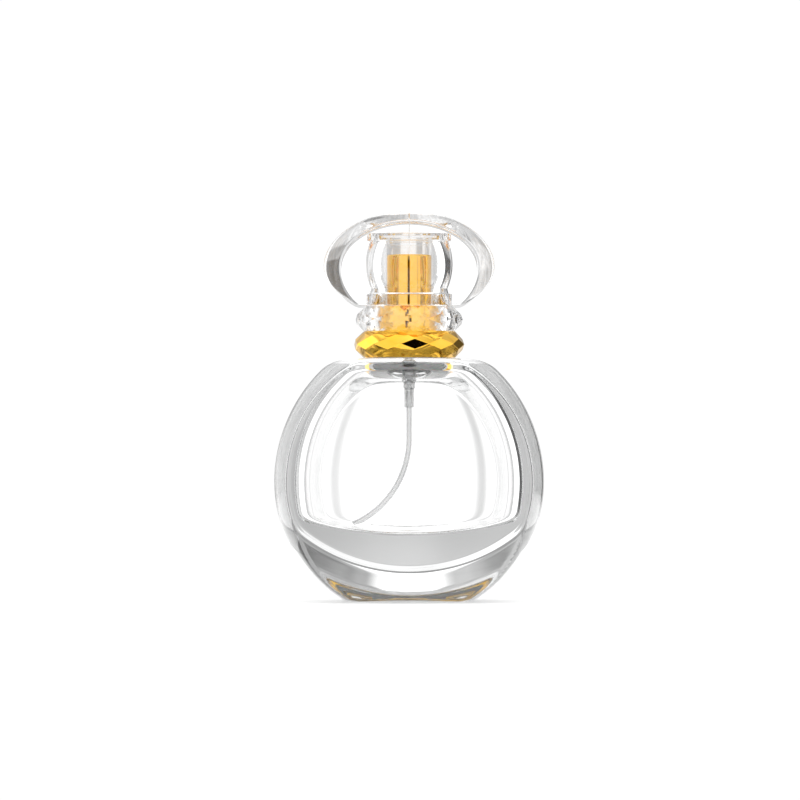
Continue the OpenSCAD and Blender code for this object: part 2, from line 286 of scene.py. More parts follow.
def glass_field(p):
    """Negative inside the outer shape of the glass, without its neck."""
    dish_r = (RECESS_R ** 2 + RECESS_H ** 2) / (2 * RECESS_H)
    dish = dish_r - np.linalg.norm(p - np.array([0, 0, RECESS_H - dish_r]), axis=1)
    field = smooth_max(belly_field(p), heel_field(p), 0.9)
    field = smooth_max(field, np.abs(p[:, 1]) - BODY_HALF_D, 0.8)
    field = smooth_max(field, p[:, 2] - SHOULDER, 3.2)
    field = smooth_max(field, -p[:, 2], 1.1)
    return smooth_max(field, dish, 0.6)


def shape_from_front(field, centre_z, half_d, columns, side_rows, fan_rows, margin, reach):
    """Grid of an outline seen along Y, with flat front and back faces and rounded creases.

    Rays leave a skeleton inside the solid: straight forwards for the face, fanning round
    the crease, straight out for the side, and the same again for the back.
    """
    turns = np.arange(columns) * TURN / columns
    out = np.stack([np.cos(turns), np.zeros(columns), np.sin(turns)], 1)
    face = np.array([0, -1.0, 0])
    centre = np.array([0, 0, centre_z])
    on_face = centre + face * (half_d - 0.01)
    crease = shoot(field, np.repeat([on_face], columns, 0), out, reach)
    inner = np.maximum(crease - margin, 2.0)

    def row(radius, y, direction):
        start = centre + out * radius[:, None] + np.array([0, y, 0])
        unit = direction / np.linalg.norm(direction, axis=1)[:, None]
        return start + unit * shoot(field, start, unit, reach)[:, None]

    depth = half_d - margin
    spread = np.linspace(-1, 1, fan_rows)
    fan = np.radians(45 + 45 * np.sign(spread) * np.abs(spread) ** 1.7)
    front = [row(inner * share, 0, np.repeat([face], columns, 0)) for share in (0.3, 0.65)]
    front += [row(inner, -depth, out * math.sin(a) + face * math.cos(a)) for a in fan]
    sides = [row(inner, y, out) for y in np.linspace(-depth, depth, side_rows)[1:-1]]
    back = [r * np.array([1, -1, 1]) for r in front[::-1]]
    rows = np.array(front + sides + back)
    poles = [centre + face * half_d, centre - face * half_d]
    return rows, poles


def body_with_hole(name, rows, poles, plane_z, hole_r):
    """A bmesh of the grid, opened on the flat plane at plane_z around the Z axis."""
    columns = rows.shape[1]
    points = np.vstack([rows.reshape(-1, 3), poles])
    count = len(points)
    faces = grid_faces(len(rows), columns)
    faces += fan_faces(count - 2, 0, columns)
    faces += fan_faces(count - 1, count - 2 - columns, columns)
    near = (np.hypot(points[:, 0], points[:, 1]) < hole_r) & (np.abs(points[:, 2] - plane_z) < 0.02)
    kept = [f for f in faces if not all(near[v] for v in f)]
    mesh = bpy.data.meshes.new(name)
    mesh.from_pydata([tuple(p) for p in points * MM], [], kept)
    work = bmesh.new()
    work.from_mesh(mesh)
    loose = [v for v in work.verts if not v.link_faces]
    bmesh.ops.delete(work, geom=loose, context="VERTS")
    bmesh.ops.remove_doubles(work, verts=work.verts, dist=1e-7)
    return mesh, work


def add_rows(work, rows, pole):
    """Adds a grid of rings and its closing pole; returns the edges of the first ring."""
    columns = rows.shape[1]
    rings = [[work.verts.new(p * MM) for p in row] for row in rows]
    add_bands(work, rings)
    tip = work.verts.new(np.array(pole) * MM)
    last = rings[-1]
    for j in range(columns):
        work.faces.new((last[j], last[(j + 1) % columns], tip))
    return closed_ring(work, rings[0])


def stitch(work, ring_edges, plane_z):
    """Fills the flat ring between the hole in the plane and the first ring."""
    ring = set(ring_edges)
    edges = [e for e in work.edges if e.is_boundary and e not in ring
             and all(abs(v.co.z / MM - plane_z) < 0.05 for v in e.verts)]
    fill_between(work, edges + list(ring_edges))


def cavity_field(p):
    height = p[:, 2] - BELLY_H
    scaled = np.stack([p[:, 0], p[:, 1], height], 1)
    share = np.linalg.norm(scaled / CAVITY, axis=1)
    oval = np.linalg.norm(scaled, axis=1) * (share - 1) / np.maximum(share, 1e-6)
    floor = np.linalg.norm(p - np.array([0, 0, FLOOR_H + FLOOR_R]), axis=1) - FLOOR_R
    field = smooth_max(oval, p[:, 2] - CEILING_H, 1.6)
    return smooth_max(field, floor, 2.2)


def glass_inside():
    """Rings from the foot of the neck over its rim, down the bore and round the reservoir."""
    columns = 320
    steps = np.arange(columns) * TURN / columns
    angles = np.arctan2(CAVITY[1] * np.sin(steps), CAVITY[0] * np.cos(steps))
    neck = rounded([
        (NECK_R + 0.8, SHOULDER), (NECK_R, SHOULDER), (NECK_R, GRIP_Z - 0.35), (BEAD_R, GRIP_Z),
        (BEAD_R, NECK_TOP), (BORE_R, NECK_TOP), (BORE_R, CEILING_H), (BORE_R + 0.9, CEILING_H)], 0.4)
    rings = circle_rows(neck, angles)
    eye = np.array([0, 0, 40.0])
    first = math.atan2(CEILING_H - eye[2], BORE_R + 1.1)
    rows = []
    for rise in np.linspace(first, -math.pi / 2 + 0.02, 150):
        level = math.cos(rise)
        ray = np.stack([np.cos(angles) * level, np.sin(angles) * level,
                        np.full(columns, math.sin(rise))], 1)
        start = np.repeat([eye], columns, 0)
        rows.append(start + ray * shoot(cavity_field, start, ray, 60)[:, None])
    return np.concatenate([rings, np.array(rows)]), (0, 0, FLOOR_H)


def make_glass():
    rows, poles = shape_from_front(
        glass_field, BELLY_H, BODY_HALF_D, columns=720, side_rows=58, fan_rows=36, margin=4.0, reach=60)
    mesh, work = body_with_hole("glass_body", rows, poles, SHOULDER, NECK_R + 1.6)
    inside, pole = glass_inside()
    ring = add_rows(work, inside, pole)
    stitch(work, ring, SHOULDER)
    work.to_mesh(mesh)
    work.free()
    return finish_mesh("glass_body", mesh, 40)


def mark_flank_painted_shade(piece, material):
    """Gives the round side wall its own material slot, the glass whose base colour carries painted grey
    shade.
    """
    piece.data.materials.append(material)
    faces = piece.data.polygons
    centres = np.empty(len(faces) * 3)
    faces.foreach_get("center", centres)
    centres = centres.reshape(-1, 3) / MM
    outside = belly_field(centres) > -0.35
    side = np.abs(centres[:, 1]) < BODY_HALF_D - 0.02
    heel = heel_field(centres) > -0.2
    neck = np.hypot(centres[:, 0], centres[:, 1]) < NECK_R + 3
    faces.foreach_set("material_index", (outside & side & ~heel & ~neck).astype(int))


# ---------------------------------------------------------------- the clear cap
def liner_outline(gap):
    """Outline of the cap's liner from its shoulder to its top rim, grown by gap."""
    foot = CAP_FOOT
    rim_r = LINER_R + 0.4
    return ([(LINER_FLANGE_R + gap, foot + 3.2 + gap), (LINER_R - 0.35 + gap, foot + 3.5 + gap)]
            + arc_points((-4.6, foot + 11.5), 16.4 + gap, -24, 22, 28)
            + [(LINER_R - 0.4 + gap, foot + 17.8 - gap), (rim_r + gap, foot + 17.9 - gap),
               (rim_r + gap, LINER_TOP + gap)])


def cap_field(p):
    """Negative inside the oval block of the cap, without its socket."""
    height = p[:, 2] - CAP_OVAL_H
    tall = np.where(height > 0, CAP_TOP - CAP_OVAL_H, 19.0)
    scaled = np.stack([p[:, 0] / CAP_HALF_W, p[:, 1] / 24.5, height / tall], 1)
    share = np.linalg.norm(scaled, axis=1)
    length = np.linalg.norm(np.stack([p[:, 0], p[:, 1], height], 1), axis=1)
    oval = length * (share - 1) / np.maximum(share, 1e-6)
    drop = np.minimum(p[:, 2] - CAP_WIDE_H, 0)
    front = np.hypot(p[:, 0] / CAP_HALF_W, drop / 15.1)
    under = np.hypot(p[:, 0], drop) * (front - 1) / np.maximum(front, 1e-6)
    field = smooth_max(oval, under, 0.5)
    field = smooth_max(field, np.abs(p[:, 1]) - CAP_HALF_D, 0.5)
    return smooth_max(field, CAP_FOOT - p[:, 2], 0.6)


def make_cap_block():
    rows, poles = shape_from_front(
        cap_field, CAP_WIDE_H, CAP_HALF_D, columns=560, side_rows=50, fan_rows=32, margin=2.5, reach=40)
    edge = LINER_FLANGE_R + AIR_GAP
    roof = LINER_TOP + AIR_GAP
    mesh, work = body_with_hole("cap_block", rows, poles, CAP_FOOT, edge + 0.7)
    profile = rounded([(edge, CAP_FOOT)] + liner_outline(AIR_GAP) + [(0.5, roof)], 0.12, 3)
    angles = [TURN * i / LINER_SEGMENTS for i in range(LINER_SEGMENTS)]
    ring = add_rows(work, circle_rows(profile, angles), (0, 0, roof))
    stitch(work, ring, CAP_FOOT)
    work.to_mesh(mesh)
    work.free()
    return finish_mesh("cap_block", mesh, 35)


def make_cap_liner():
    ceiling = CAP_FOOT + 18.55
    foot = GRIP_Z + 0.2
    bore = 9.6
    grip = 9.45
    grip_top = foot + 2.1
    dish_r = 7.8
    dish_floor = ceiling + 0.65
    profile = ([(0, ceiling), (bore, ceiling), (bore, grip_top), (grip, grip_top), (grip, foot),
                (LINER_R, foot), (LINER_R, CAP_FOOT), (LINER_FLANGE_R, CAP_FOOT)]
               + liner_outline(0)
               + [(dish_r, LINER_TOP), (dish_r, dish_floor), (0, dish_floor)])
    return lathe("cap_liner", profile, segments=LINER_SEGMENTS, radius=0.14, sharp_angle=30)


def facet_rows(mid_r, z_low, z_mid, z_high, half_diamond):
    """The five rings of corners of a band of flat diamonds between two rows of kites."""
    step = TURN / FACETS
    flat_r = mid_r * math.cos(step / 2)
    slope = mid_r * math.sin(step / 2) ** 2 / half_diamond
    low_r = flat_r * math.cos(step / 2) - slope * (z_mid - half_diamond - z_low)
    high_r = flat_r * math.cos(step / 2) - slope * (z_high - z_mid - half_diamond)
    levels = [(low_r, z_low, 0.5), (flat_r, z_mid - half_diamond, 0), (mid_r, z_mid, 0.5),
              (flat_r, z_mid + half_diamond, 0), (high_r, z_high, 0.5)]
    rows = []
    for radius, z, shift in levels:
        turns = [-math.pi / 2 + FACET_TURN + step * (i + shift) for i in range(FACETS)]
        rows.append([(radius * math.cos(a), radius * math.sin(a), z) for a in turns])
    return rows


def add_facets(work, rows, bevel):
    """Adds the diamonds and kites between the rings of corners, with their edges bevelled."""
    verts = [[work.verts.new(Vector(p) * MM) for p in row] for row in rows]
    for i in range(FACETS):
        n = (i + 1) % FACETS
        work.faces.new((verts[0][i], verts[1][n], verts[0][n]))
        work.faces.new((verts[0][i], verts[1][i], verts[2][i], verts[1][n]))
        work.faces.new((verts[2][i], verts[1][n], verts[2][n], verts[3][n]))
        work.faces.new((verts[2][i], verts[3][i], verts[4][i], verts[3][n]))
        work.faces.new((verts[3][n], verts[4][i], verts[4][n]))
    # the bevel leaves gaps between faces that are wound in opposite directions
    bmesh.ops.recalc_face_normals(work, faces=work.faces)
    inner = [e for e in work.edges if not e.is_boundary]
    bmesh.ops.bevel(work, geom=inner, offset=bevel * MM, segments=2, profile=0.5, affect="EDGES")


def faceted_ring(name, rows, profile, bevel, segments=160):
    """A cut-stone band whose inside is a profile of (r, z) from its top plane to its bottom plane."""
    work = bmesh.new()
    add_facets(work, rows, bevel)
    loops = boundary_loops(work)
    low = min(loops, key=lambda loop: loop[0].verts[0].co.z)
    high = max(loops, key=lambda loop: loop[0].verts[0].co.z)
    angles = [TURN * i / segments for i in range(segments)]
    rings = [[work.verts.new(p * MM) for p in row] for row in circle_rows(profile, angles)]
    add_bands(work, rings)
    fill_between(work, closed_ring(work, rings[0]) + high)
    fill_between(work, closed_ring(work, rings[-1]) + low)
    mesh = bpy.data.meshes.new(name)
    work.to_mesh(mesh)
    work.free()
    return finish_mesh(name, mesh, 9)


def make_cap_ring():
    foot = RING_LOW[2]
    top = RING_HIGH[2] - 0.02
    rows = facet_rows(14.9, foot, GRIP_Z + 3.3, top, 1.35)
    bore = LINER_R + AIR_GAP
    return faceted_ring("cap_facets", rows, [(bore, top), (bore, foot)], 0.07)


# ---------------------------------------------------------------- the gold collar
def make_collar():
    foot = BAND_LOW[2]
    top = BAND_HIGH[2]
    rows = facet_rows(15.3, foot, SHOULDER + 3.85, GRIP_Z, 1.45)
    step_z = GRIP_Z + 1.9
    lip_z = top - 0.5
    pocket_top = foot + POCKET_H
    inside = rounded([
        (9.4, GRIP_Z), (9.4, step_z), (8.7, step_z), (8.7, top), (7.0, top), (7.0, lip_z),
        (8.05, lip_z), (8.05, pocket_top), (POCKET_R, pocket_top), (POCKET_R, foot)], 0.16)
    return faceted_ring("gold_collar", rows, inside, 0.09)


def mark_underside(piece, material):
    """Gives the foot of the collar and its pocket, which the plating misses, their own material."""
    piece.data.materials.append(material)
    foot = BAND_LOW[2]
    for face in piece.data.polygons:
        z = face.center.z / MM
        in_pocket = z < foot + POCKET_H + 0.1 and face.center.xy.length < (POCKET_R + 0.05) * MM
        face.material_index = int(in_pocket or z < foot + 0.03)


# ---------------------------------------------------------------- pump pieces seen through the glass
def sweep(name, path, normals, radius, sides, inner=None):
    """A tube along path. normals is a side direction for each point of the path."""
    path = np.array(path)
    along = np.gradient(path, axis=0)
    along /= np.linalg.norm(along, axis=1)[:, None]
    side = np.array(normals, float)
    side -= along * (side * along).sum(1)[:, None]
    side /= np.linalg.norm(side, axis=1)[:, None]
    up = np.cross(along, side)

    def rings(r):
        turns = [TURN * j / sides for j in range(sides)]
        return np.array([[p + r * (math.cos(t) * s + math.sin(t) * u) for t in turns]
                         for p, s, u in zip(path, side, up)])

    outer = rings(radius)
    if inner is None:
        points = np.vstack([outer.reshape(-1, 3), [path[0], path[-1]]])
        last = (len(path) - 1) * sides
        faces = grid_faces(len(path), sides)
        faces += fan_faces(len(points) - 2, 0, sides) + fan_faces(len(points) - 1, last, sides)
        return new_mesh(name, points, faces, 50)
    loop = np.concatenate([outer, rings(inner)[::-1], outer[:1]])
    return new_mesh(name, loop.reshape(-1, 3), grid_faces(len(loop), sides), 50)


def make_dip_tube():
    """Straight down from the socket, then a bend towards -X that ends low in the reservoir."""
    bend_r = 27.0
    bend_z = 45.5
    drop = 25.0
    straight = [(0, 0, z) for z in np.linspace(TUBE_HIGH[2], bend_z, 14)]
    turns = np.linspace(0, math.asin(drop / bend_r), 60)[1:]
    bent = [(-bend_r * (1 - math.cos(t)), 0, bend_z - bend_r * math.sin(t)) for t in turns]
    path = straight + bent
    return sweep("dip_tube_hose", path, [(0, 1, 0)] * len(path), 0.825, 32, inner=0.45)


def make_spring():
    """A coil with one closed turn at each end."""
    turns = 10
    steps = 36
    wire = 0.32
    mean_r = 1.15
    closed = wire * 1.06
    height = SPRING_HIGH[2] - SPRING_LOW[2] - wire
    pitch = (height - 2 * closed) / (turns - 2)
    path = []
    normals = []
    for i in range(turns * steps + 1):
        turn = i / steps
        if turn < 1:
            rise = turn * closed
        elif turn > turns - 1:
            rise = height - (turns - turn) * closed
        else:
            rise = closed + (turn - 1) * pitch
        a = TURN * turn
        path.append((mean_r * math.cos(a), mean_r * math.sin(a), SPRING_LOW[2] + wire / 2 + rise))
        normals.append((math.cos(a), math.sin(a), 0))
    return sweep("spring_coil", path, normals, wire / 2, 10)


def make_pump_housing():
    """The moulded pump body: chamber, spring bore, ball seat and the tail that holds the dip tube."""
    chamber_z = SHOULDER + 0.3
    seat_z = chamber_z - 4.2
    ball_z = seat_z - 1.9
    tail_z = PUMP_LOW[2]
    flange = PUMP_HIGH[2]
    socket_top = TUBE_HIGH[2]
    outside = [
        (0.825, tail_z), (1.4, tail_z), (1.4, ball_z - 0.8), (1.7, ball_z - 0.5), (1.7, seat_z - 0.8),
        (2.1, seat_z - 0.5), (2.1, chamber_z - 0.9), (3.5, chamber_z - 0.9), (3.9, chamber_z - 0.5),
        (3.9, flange - 0.8), (7.0, flange - 0.8), (7.0, flange), (3.0, flange)]
    inside = [
        (3.0, chamber_z), (1.5, chamber_z), (1.5, seat_z), (1.12, seat_z), (1.12, ball_z),
        (0.6, ball_z), (0.6, socket_top), (0.825, socket_top)]
    return lathe("pump_body", outside + inside, segments=96, radius=0.09, closed=True)


def make_ball():
    """A fine sphere, smooth all round."""
    centre = (BALL_LOW + BALL_HIGH) / 2
    radius = (BALL_HIGH[2] - BALL_LOW[2]) / 2
    profile = arc_points((0, centre[2]), radius, -90, 90, 40)
    profile[0] = (0, profile[0][1])
    profile[-1] = (0, profile[-1][1])
    return lathe("ball_bearing", profile, segments=64, sharp_angle=80)


# ---------------------------------------------------------------- materials
def node(tree, kind, **values):
    item = tree.nodes.new(kind)
    for name, value in values.items():
        setattr(item, name, value)
    return item


def principled(name, **inputs):
    """A new material and its Principled shader, with constant values set on the shader's sockets."""
    material = bpy.data.materials.new(name)
    material.use_nodes = True
    tree = material.node_tree
    shader = tree.nodes["Principled BSDF"]
    for key, value in inputs.items():
        shader.inputs[key.replace("_", " ")].default_value = value
    return material, tree, shader


def noise(tree, scale, detail=2.0, stretch=(1, 1, 1)):
    """Procedural noise in object space; scale is in cycles per metre."""
    place = node(tree, "ShaderNodeTexCoord")
    mapping = node(tree, "ShaderNodeMapping")
    mapping.inputs["Scale"].default_value = stretch
    texture = node(tree, "ShaderNodeTexNoise")
    texture.inputs["Scale"].default_value = scale
    texture.inputs["Detail"].default_value = detail
    tree.links.new(place.outputs["Object"], mapping.inputs["Vector"])
    tree.links.new(mapping.outputs["Vector"], texture.inputs["Vector"])
    return texture.outputs["Fac"]


def ramp(tree, value, stops):
    """A colour ramp over value; stops are (position, colour or grey)."""
    item = node(tree, "ShaderNodeValToRGB")
    elements = item.color_ramp.elements
    while len(elements) < len(stops):
        elements.new(0.5)
    for element, (position, colour) in zip(elements, stops):
        element.position = position
        element.color = (*colour, 1) if isinstance(colour, tuple) else (colour, colour, colour, 1)
    tree.links.new(value, item.inputs["Fac"])
    return item.outputs["Color"]


def step_down(tree, value, near, far):
    """1 below near, 0 above far, smooth in between."""
    item = node(tree, "ShaderNodeMapRange", interpolation_type="SMOOTHSTEP")
    item.inputs["From Min"].default_value = near
    item.inputs["From Max"].default_value = far
    item.inputs["To Min"].default_value = 1
    item.inputs["To Max"].default_value = 0
    tree.links.new(value, item.inputs["Value"])
    return item.outputs["Result"]


def feed(tree, socket, value):
    """Sets a constant on the socket, or links another node's output to it."""
    if isinstance(value, (int, float)):
        socket.default_value = value
    else:
        tree.links.new(value, socket)


def math_node(tree, operation, *values):
    """Output of a Math node over constants and other nodes' outputs."""
    item = node(tree, "ShaderNodeMath", operation=operation)
    for socket, value in zip(item.inputs, values):
        feed(tree, socket, value)
    return item.outputs[0]


def choose(tree, switch, off, on):
    """Off where switch is 0, on where it is 1."""
    item = node(tree, "ShaderNodeMix", data_type="FLOAT")
    feed(tree, item.inputs["Factor"], switch)
    feed(tree, item.inputs["A"], off)
    feed(tree, item.inputs["B"], on)
    return item.outputs["Result"]


def bump(tree, shader, value, depth_mm):
    """Relief of the given depth from a 0 to 1 value."""
    item = node(tree, "ShaderNodeBump")
    item.inputs["Strength"].default_value = 1.0
    item.inputs["Distance"].default_value = depth_mm * MM
    tree.links.new(value, item.inputs["Height"])
    tree.links.new(item.outputs["Normal"], shader.inputs["Normal"])


def absorption(tree, colour, density):
    """Tints what passes through the solid."""
    item = node(tree, "ShaderNodeVolumeAbsorption")
    item.inputs["Color"].default_value = (*colour, 1)
    item.inputs["Density"].default_value = density
    tree.links.new(item.outputs["Volume"], tree.nodes["Material Output"].inputs["Volume"])


def glass_material(name, flank=False):
    """Moulded glass: faint waves from the mould, slightly uneven polish, a grey tint in depth."""
    material, tree, shader = principled(name, IOR=1.52, Transmission_Weight=1.0)
    shader.inputs["Base Color"].default_value = (1, 1, 1, 1)
    if flank:
        # on the flank the base colour carries painted grey shade
        tree.links.new(flank_painted_shade(tree), shader.inputs["Base Color"])
    polish = ramp(tree, noise(tree, 160, 3), [(0.35, 0.0), (0.8, 0.012)])
    tree.links.new(polish, shader.inputs["Roughness"])
    bump(tree, shader, noise(tree, 90, 1.0), 0.012)
    absorption(tree, (0.03, 0.05, 0.05), 7.2)
    return material


def flank_painted_shade(tree):
    """Painted grey shade on the outside of the flank, in uneven streaks, deeper towards the creases of
    the flat faces; rays from inside see clear glass.
    """
    place = node(tree, "ShaderNodeTexCoord")
    split = node(tree, "ShaderNodeSeparateXYZ")
    tree.links.new(place.outputs["Object"], split.inputs["Vector"])
    # painted shade: base colour from 0.90 near the middle down to 0.54 towards the creases
    depth = node(tree, "ShaderNodeMapRange")
    depth.inputs["From Min"].default_value = 3 * MM
    depth.inputs["From Max"].default_value = 13 * MM
    depth.inputs["To Min"].default_value = 0.90
    depth.inputs["To Max"].default_value = 0.54
    tree.links.new(math_node(tree, "ABSOLUTE", split.outputs["Y"]), depth.inputs["Value"])
    streaks = ramp(tree, noise(tree, 60, 2, stretch=(0.5, 8, 0.3)), [(0.3, 0.78), (0.7, 1.0)])
    tone = math_node(tree, "MULTIPLY", depth.outputs["Result"], streaks)
    inward = node(tree, "ShaderNodeNewGeometry").outputs["Backfacing"]
    return choose(tree, inward, tone, 1.0)


def acrylic_material():
    """Cast acrylic of the cap: clear, with hair-fine handling marks."""
    material, tree, shader = principled("cast_acrylic", IOR=1.49, Transmission_Weight=1.0)
    shader.inputs["Base Color"].default_value = (1, 1, 1, 1)
    marks = ramp(tree, noise(tree, 900, 4, stretch=(1, 1, 6)), [(0.55, 0.0), (0.85, 0.02)])
    tree.links.new(marks, shader.inputs["Roughness"])
    bump(tree, shader, noise(tree, 130, 1.0), 0.004)
    absorption(tree, (0.05, 0.05, 0.06), 2.0)
    return material


def gold_material():
    """Bright gold plating: tone drifts a little, with fine vertical polishing lines."""
    material, tree, shader = principled("gold_plating", Metallic=1.0)
    tone = ramp(tree, noise(tree, 260, 3), [(0.3, (1.0, 0.54, 0.045)), (0.7, (1.0, 0.60, 0.085))])
    tree.links.new(tone, shader.inputs["Base Color"])
    polish = ramp(tree, noise(tree, 1400, 4, stretch=(1, 1, 0.12)), [(0.3, 0.025), (0.75, 0.06)])
    tree.links.new(polish, shader.inputs["Roughness"])
    bump(tree, shader, noise(tree, 420, 2.0), 0.003)
    return material


def metal_material(name, low, high, rough):
    """Bare or anodised metal with a drifting tone and uneven polish."""
    material, tree, shader = principled(name, Metallic=1.0)
    tone = ramp(tree, noise(tree, 500, 3), [(0.3, low), (0.7, high)])
    tree.links.new(tone, shader.inputs["Base Color"])
    polish = ramp(tree, noise(tree, 1800, 3, stretch=(1, 1, 0.3)), [(0.3, rough), (0.8, rough + 0.12)])
    tree.links.new(polish, shader.inputs["Roughness"])
    bump(tree, shader, noise(tree, 900, 2), 0.004)
    return material


def plastic_material(name, low, high, rough, clear=0.0, grain=0.006):
    """Injection-moulded plastic with a slightly uneven, faintly grained skin."""
    material, tree, shader = principled(name, IOR=1.49, Transmission_Weight=clear)
    shader.inputs["Subsurface Weight"].default_value = 0.15 * (1 - clear)
    shader.inputs["Subsurface Scale"].default_value = 0.6 * MM
    tone = ramp(tree, noise(tree, 350, 3), [(0.3, low), (0.7, high)])
    tree.links.new(tone, shader.inputs["Base Color"])
    skin = ramp(tree, noise(tree, 2600, 3), [(0.3, rough), (0.8, rough + 0.1)])
    tree.links.new(skin, shader.inputs["Roughness"])
    bump(tree, shader, noise(tree, 4200, 2), grain)
    return material


def paint(piece, material):
    """Makes material the piece's only one."""
    piece.data.materials.clear()
    piece.data.materials.append(material)


def dress_cad(name, material):
    """Gives a carried-over CAD node its material and smooth shading with crisp edges."""
    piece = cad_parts[name]
    paint(piece, material)
    for polygon in piece.data.polygons:
        polygon.use_smooth = True
    weld = piece.modifiers.new("weld", "WELD")
    weld.merge_threshold = 0.0005 * MM
    split = piece.modifiers.new("crisp_edges", "EDGE_SPLIT")
    split.split_angle = math.radians(32)


def dress_new(piece, material, body, cad_node):
    """Paints a new piece, fastens it to its body and puts it in the place of its CAD node."""
    paint(piece, material)
    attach(piece, body)
    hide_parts(cad_node)


# ---------------------------------------------------------------- build the pieces
GLASS = glass_material("moulded_glass")
# the same glass with painted grey shade on its flank
FLANK_PAINTED_SHADE = glass_material("moulded_glass_flank_painted_shade", flank=True)
ACRYLIC = acrylic_material()
GOLD = gold_material()
FERRULE = metal_material("anodised_ferrule", (0.86, 0.62, 0.25), (0.93, 0.70, 0.32), 0.24)
RAW_METAL = metal_material("unplated_metal", (0.93, 0.93, 0.93), (0.97, 0.97, 0.97), 0.14)
STEEL = metal_material("stainless_steel", (0.62, 0.62, 0.63), (0.78, 0.78, 0.79), 0.10)
WHITE = plastic_material("white_polypropylene", (0.86, 0.86, 0.85), (0.92, 0.92, 0.91), 0.32)
MILKY = plastic_material(
    "natural_polyethylene", (0.97, 0.975, 0.975), (1.0, 1.0, 1.0), 0.05, clear=0.95, grain=0.0006)
RUBBER = plastic_material("nitrile_rubber", (0.035, 0.035, 0.037), (0.06, 0.06, 0.062), 0.55)

glass = make_glass()
dress_new(glass, GLASS, "bottle", "glass_bottle")
mark_flank_painted_shade(glass, FLANK_PAINTED_SHADE)
collar = make_collar()
dress_new(collar, GOLD, "bottle", "decor_collar")
mark_underside(collar, RAW_METAL)
dress_new(make_pump_housing(), MILKY, "bottle", "pump_housing")
dress_new(make_dip_tube(), MILKY, "bottle", "dip_tube")
dress_new(make_ball(), STEEL, "ball", "inlet_ball")
dress_new(make_cap_block(), ACRYLIC, "cap", "cap_shell")
dress_new(make_cap_ring(), ACRYLIC, "cap", "cap_ring")
dress_new(make_cap_liner(), ACRYLIC, "cap", "cap_core")

spring = make_spring()
dress_new(spring, STEEL, "bottle", "return_spring")
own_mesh(spring)

dress_cad("actuator_shell", GOLD)
dress_cad("crimp_ferrule", FERRULE)
for name in ("neck_gasket", "stem_seal"):
    dress_cad(name, RUBBER)
for name in ("collar_insert", "turret", "stem", "piston", "valve_rod", "actuator_core", "nozzle_insert"):
    dress_cad(name, WHITE)


# ---------------------------------------------------------------- floor, light and camera
def make_floor():
    """A pale floor, a little self-lit so that it runs into the white background at its soft rim."""
    half = 0.6
    mesh = bpy.data.meshes.new("floor")
    corners = [(-half, -half, 0), (half, -half, 0), (half, half, 0), (-half, half, 0)]
    mesh.from_pydata(corners, [], [(0, 1, 2, 3)])
    floor = bpy.data.objects.new("floor", mesh)
    bpy.context.scene.collection.objects.link(floor)
    material, tree, shader = principled("pale_floor", Roughness=0.7)
    tone = ramp(tree, noise(tree, 30, 3), [(0.3, (0.86, 0.86, 0.86)), (0.7, (0.89, 0.89, 0.89))])
    tree.links.new(tone, shader.inputs["Base Color"])
    shader.inputs["Specular IOR Level"].default_value = 0.2
    shader.inputs["Emission Color"].default_value = (1, 1, 1, 1)
    shader.inputs["Emission Strength"].default_value = 0.4
    place = node(tree, "ShaderNodeTexCoord")
    distance = node(tree, "ShaderNodeVectorMath", operation="LENGTH")
    tree.links.new(place.outputs["Object"], distance.inputs[0])
    fade = step_down(tree, distance.outputs["Value"], 0.20, 0.55)
    tree.links.new(fade, shader.inputs["Alpha"])
    paint(floor, material)
    floor.visible_transmission = False


def patches(tree, azimuth, elevation, rows):
    """Paints soft-edged patches of brightness, in degrees, one over the other."""
    value = rows[0]
    for az, half_w, el, half_h, feather, level in rows[1:]:
        off_az = math_node(tree, "ABSOLUTE", math_node(tree, "SUBTRACT", azimuth, az))
        off_el = math_node(tree, "ABSOLUTE", math_node(tree, "SUBTRACT", elevation, el))
        across = step_down(tree, off_az, half_w - feather / 2, half_w + feather / 2)
        upward = step_down(tree, off_el, half_h - feather / 2, half_h + feather / 2)
        value = choose(tree, math_node(tree, "MULTIPLY", across, upward), value, level)
    return value


# Patches of the studio. Each set starts with its general brightness, and each patch after it
# has azimuth, half width, elevation, half height, soft edge and brightness.
# Azimuth runs from straight behind the bottle, positive to the right, and the same set stands
# in front for anyone who looks from the back; for the front patches, which only mirrored rays
# see, it runs from the -Y side. Light that has crossed only solid glass or acrylic gets the
# grey set, so that flanks, heel and cap edges stand out from the white inside.
THROUGH_SOLID = [
    1.6,
    (0, 62, 0, 62, 8, 0.72),
    (-82, 26, 0, 60, 6, 1.75),
    (82, 26, 0, 60, 6, 1.75),
    (-33, 17, -6, 18, 5, 0.95),
    (-33, 14, 9, 6, 5, 0.75),
    (-24, 14, 38, 16, 6, 1.05),
    (36, 20, 8, 16, 6, 0.12),
    (36, 20, -14, 7, 5, 0.40),
    (20, 14, 36, 11, 8, 0.55),
    (12, 9, 16, 8, 4, 0.45),
    (-12, 9, 16, 8, 4, 0.62),
    (9, 2.5, 14.5, 2, 2, 0.22),
    (-9, 2.5, 14.5, 2, 2, 0.40),
    (0, 18, 6.5, 2.2, 2, 0.38),
    (0, 3.6, 17, 8.5, 2, 1.7),
    (0, 2.4, 2.4, 1.9, 1.2, 1.4)]
THROUGH_HOLLOW = [
    1.35,
    (-26, 3, 0, 50, 5, 0.98),
    (25.5, 3, 0, 50, 5, 0.84)]
THROUGH_CAP = [
    1.0,
    (-38, 16, 0, 50, 8, 0.5),
    (28, 10, 0, 50, 6, 0.5),
    (70, 20, 0, 50, 8, 0.65)]
